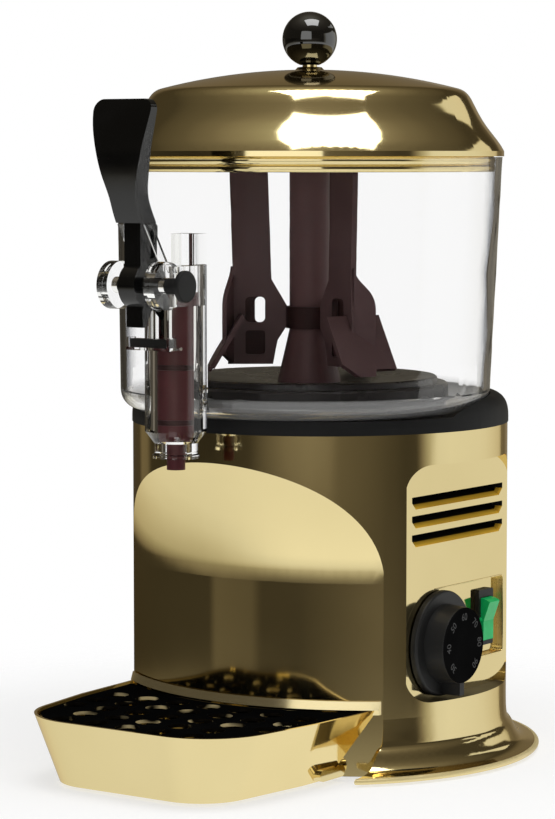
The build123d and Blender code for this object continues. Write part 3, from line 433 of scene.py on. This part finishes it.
# Floor: a pale sheet around the object that runs out into the white of the studio. Mirrors see the world's
# table in its place.
FLOOR_GLOW, FADE_START, FADE_END = 0.60, 0.24, 0.46
bpy.ops.mesh.primitive_circle_add(vertices=96, radius=1.2, fill_type="NGON", location=(0, 0, 0))
floor = bpy.context.object
floor.name = "floor"
floor_material, tree, shader = new_material("floor_white")
shades = add_ramp(tree, add_noise(tree, 3.0), ((CLOUD[0], grey(0.44)), (CLOUD[1], grey(0.46))))
tree.links.new(shades, shader.inputs["Base Color"])
shader.inputs["Emission Color"].default_value = (1, 1, 1, 1)
shader.inputs["Emission Strength"].default_value = FLOOR_GLOW
shader.inputs["Roughness"].default_value = 0.9
shader.inputs["Specular IOR Level"].default_value = 0.0
place = tree.nodes.new("ShaderNodeTexCoord")
reach = tree.nodes.new("ShaderNodeVectorMath")
reach.operation = "LENGTH"
tree.links.new(place.outputs["Object"], reach.inputs[0])
fade = add_range(tree, reach.outputs["Value"], FADE_START, FADE_END, 1.0, 0.0, "SMOOTHSTEP")
path = tree.nodes.new("ShaderNodeLightPath")
shown = tree.nodes.new("ShaderNodeMath")
shown.operation = "SUBTRACT"
shown.use_clamp = True
tree.links.new(fade, shown.inputs[0])
tree.links.new(path.outputs["Is Glossy Ray"], shown.inputs[1])
tree.links.new(shown.outputs[0], shader.inputs["Alpha"])
floor.data.materials.append(floor_material)

# World: white behind the object as seen and through glass, an even fill on plain surfaces, and for mirrors a
# dim room with a white table, white cards behind on the right and a soft glow towards the lamp
world = bpy.data.worlds.new("studio")
bpy.context.scene.world = world
world.use_nodes = True
sky = world.node_tree
background = sky.nodes["Background"]
coords = sky.nodes.new("ShaderNodeTexCoord")
direction = sky.nodes.new("ShaderNodeSeparateXYZ")
sky.links.new(coords.outputs["Generated"], direction.inputs[0])


def maths(operation, a, b=0.0):
    node = sky.nodes.new("ShaderNodeMath")
    node.operation = operation
    for socket, value in zip(node.inputs, (a, b)):
        if isinstance(value, (int, float)):
            socket.default_value = value
        else:
            sky.links.new(value, socket)
    return node.outputs[0]


def blend(a, b, share):
    """Goes from a to b as the share goes from 0 to 1."""
    return maths("ADD", maths("MULTIPLY", b, share), maths("MULTIPLY", a, maths("SUBTRACT", 1.0, share)))


def smooth(source, start, end, low, high):
    return add_range(sky, source, start, end, low, high, "SMOOTHSTEP")


def toward(azimuth, elevation):
    """How nearly a ray looks in a direction, given in degrees, as a cosine."""
    a = math.radians(azimuth)
    e = math.radians(elevation)
    node = sky.nodes.new("ShaderNodeVectorMath")
    node.operation = "DOT_PRODUCT"
    node.inputs[1].default_value = (math.sin(a) * math.cos(e), -math.cos(a) * math.cos(e), math.sin(e))
    sky.links.new(coords.outputs["Generated"], node.inputs[0])
    return node.outputs["Value"]


def profile(source, stops):
    """Grey level along a line, from pairs of a place on it and the level there, in rising order."""
    start = stops[0][0]
    end = stops[-1][0]
    shares = [((place - start) / (end - start), grey(level)) for place, level in stops]
    return add_ramp(sky, add_range(sky, source, start, end, 0.0, 1.0), shares)


# Height is the sine of a ray's rise. Bearing goes round in degrees from the front, first to the panel's side.
height = direction.outputs["Z"]
forward = maths("MULTIPLY", direction.outputs["Y"], -1)
bearing = maths("MULTIPLY", maths("ARCTAN2", direction.outputs["X"], forward), 180 / math.pi)

# Walls of the room, from the back round the left, front and right, with a white card behind on the right
WALL_BACK = ((-180, 0.18), (-172, 0.14), (-162, 0.24), (-150, 0.24))
WHITE_CARD = (
    (95, 0.05), (99, 0.21), (105, 0.54), (110, 0.89), (121, 0.94), (140, 0.91), (153, 0.885), (165, 0.80),
    (176, 0.68), (180, 0.4),
)
walls_high = profile(bearing, WALL_BACK + (
    (-142, 0.05), (-112, 0.06), (-107, 0.16), (-98, 0.15), (-92, 0.04), (-36, 0.024), (-9, 0.045), (3, 0.11),
    (15, 0.17), (28, 0.205), (39, 0.18), (46, 0.12), (63, 0.095), (87, 0.046),
) + WHITE_CARD)
walls_low = profile(bearing, WALL_BACK + (
    (-142, 0.04), (-45, 0.042), (-41, 0.11), (-21, 0.095), (-16, 0.046), (3, 0.042), (24, 0.075), (45, 0.11),
    (78, 0.066), (87, 0.055),
) + WHITE_CARD)
walls = blend(walls_low, walls_high, smooth(height, -0.125, -0.11, 0.0, 1.0))

# Above the walls: a glow that grows towards the lamp, less of it behind, and a pale patch at the far back
glow = profile(height, (
    (0.0, 0.055), (0.5, 0.055), (0.574, 0.08), (0.707, 0.11), (0.82, 0.17), (0.906, 0.27), (0.94, 0.34),
    (1.0, 0.45),
))
glow = maths("MULTIPLY", glow, smooth(toward(35, 0), -0.6, -0.1, 0.95, 1.0))
far_patch = smooth(toward(-146, 12), 0.9, 1.0, 0.0, 0.10)
card_top = profile(bearing, (
    (-180, 0.15), (-150, 0.15), (-140, 0.0), (88, 0.0), (97, 0.28), (158, 0.28), (172, 0.15), (180, 0.15),
))
above = smooth(maths("SUBTRACT", height, card_top), 0.02, 0.06, 0.0, 1.0)
room = blend(walls, maths("ADD", glow, far_patch), above)

# A second card hangs higher at the back on the right
hang_low = profile(bearing, ((140, 0.50), (150, 0.455), (160, 0.395), (170, 0.335), (180, 0.28)))
hang_top = profile(bearing, ((140, 0.58), (150, 0.535), (165, 0.475), (173, 0.45), (180, 0.41)))
over_low = smooth(maths("SUBTRACT", height, hang_low), 0.0, 0.02, 0.0, 1.0)
under_top = smooth(maths("SUBTRACT", hang_top, height), 0.0, 0.02, 0.0, 1.0)
hanging = maths("MULTIPLY", maths("MULTIPLY", over_low, under_top), smooth(bearing, 141, 144, 0.0, 0.86))
room = maths("MAXIMUM", room, hanging)

# White table, brighter and with a harder edge in front than on the left
table_left = profile(height, (
    (-0.7, 0.95), (-0.45, 0.90), (-0.36, 0.81), (-0.225, 0.50), (-0.182, 0.20), (-0.172, 0.08), (-0.165, 0.0),
    (-0.1, 0.0),
))
table_front = profile(height, (
    (-0.7, 1.0), (-0.30, 1.1), (-0.25, 0.96), (-0.232, 0.82), (-0.215, 0.55), (-0.205, 0.30), (-0.197, 0.16),
    (-0.188, 0.06), (-0.18, 0.0), (-0.1, 0.0),
))
table = blend(table_left, table_front, smooth(bearing, -55, 5, 0.0, 1.0))

# Bright upright screen in front, beside the viewer
SCREEN_BEARING, SCREEN_LEVEL = 19.5, 1.3
ahead = maths("MAXIMUM", toward(SCREEN_BEARING, 0), 0.001)
sideways = maths("ABSOLUTE", maths("DIVIDE", toward(SCREEN_BEARING + 90, 0), ahead))
upward = maths("DIVIDE", height, ahead)
screen_width = smooth(sideways, 0.40, 0.43, 1.0, 0.0)
screen_foot = smooth(upward, -0.06, -0.04, 0.0, 1.0)
screen_head = smooth(upward, 0.60, 0.63, 1.0, 0.0)
screen = maths("MULTIPLY", screen_width, maths("MULTIPLY", screen_foot, screen_head))
mirror = maths("MAXIMUM", maths("MAXIMUM", room, table), maths("MULTIPLY", screen, SCREEN_LEVEL))

# The dim parts of the room are warmer than the white ones, and a little lifted
warm = add_ramp(sky, mirror, (
    (0.0, (1, 0.85, 0.6)), (0.2, (1, 0.88, 0.68)), (0.35, (1, 0.945, 0.74)), (0.65, (1, 0.97, 0.86)),
    (0.9, (1, 1, 0.97)),
))
mirror = maths("MULTIPLY", mirror, smooth(mirror, 0.1, 0.9, 1.2, 1.0))

# What each kind of ray gets: plain white, the room or the even fill
EVEN_FILL = 0.55
path = sky.nodes.new("ShaderNodeLightPath")
mirrored = maths("MINIMUM", path.outputs["Glossy Depth"], 1.0)
through = maths("MULTIPLY", path.outputs["Is Transmission Ray"], maths("SUBTRACT", 1.0, mirrored))
seen = maths("MAXIMUM", path.outputs["Is Camera Ray"], through)
either = maths("MAXIMUM", path.outputs["Is Glossy Ray"], path.outputs["Is Transmission Ray"])
shiny = maths("MULTIPLY", either, maths("SUBTRACT", 1.0, seen))
plain = maths("SUBTRACT", 1.0, maths("MAXIMUM", seen, shiny))
lit = maths("ADD", maths("MULTIPLY", shiny, mirror), maths("MULTIPLY", plain, EVEN_FILL))
sky.links.new(maths("ADD", seen, lit), background.inputs["Strength"])
tint = sky.nodes.new("ShaderNodeMix")
tint.data_type = "RGBA"
tint.inputs["A"].default_value = (1, 1, 1, 1)
sky.links.new(shiny, tint.inputs["Factor"])
sky.links.new(warm, tint.inputs["B"])
sky.links.new(tint.outputs["Result"], background.inputs["Color"])

# Lamp: a soft box overhead, nearly in line with the view
AZIMUTH = math.radians(34.5)
box_data = bpy.data.lights.new("softbox", "AREA")
box_data.shape = "RECTANGLE"
box_data.size = 1.10
box_data.size_y = 0.86
box_data.energy = 12.0
softbox = bpy.data.objects.new("softbox", box_data)
bpy.context.scene.collection.objects.link(softbox)
softbox.location = (0.409, -0.176, 1.8)
softbox.rotation_euler = (0, 0, AZIMUTH + math.radians(10.7))

# Camera at the photograph's angle. Lengths are in metres, and the focal length and the aim in picture pixels:
# the aim is how far the middle of the picture lies below the eye's height and left of the bowl's axis.
DISTANCE, EYE = 1.880, 0.372
PICTURE_HEIGHT, FOCAL, AIM_DOWN, AIM_LEFT = 819, 3004.5, 252.5, 32.0
SENSOR = 36.0
data = bpy.data.cameras.new("camera")
data.sensor_width = SENSOR
data.lens = FOCAL * SENSOR / PICTURE_HEIGHT
camera = bpy.data.objects.new("camera", data)
bpy.context.scene.collection.objects.link(camera)
camera.location = (DISTANCE * math.sin(AZIMUTH), AXIS_Y - DISTANCE * math.cos(AZIMUTH), EYE)
pitch = math.atan(AIM_DOWN / FOCAL)
yaw = AZIMUTH + math.atan(AIM_LEFT / FOCAL)
camera.rotation_euler = (math.pi / 2 - pitch, 0, yaw)
bpy.context.scene.camera = camera
bpy.context.scene.view_settings.view_transform = "Standard"
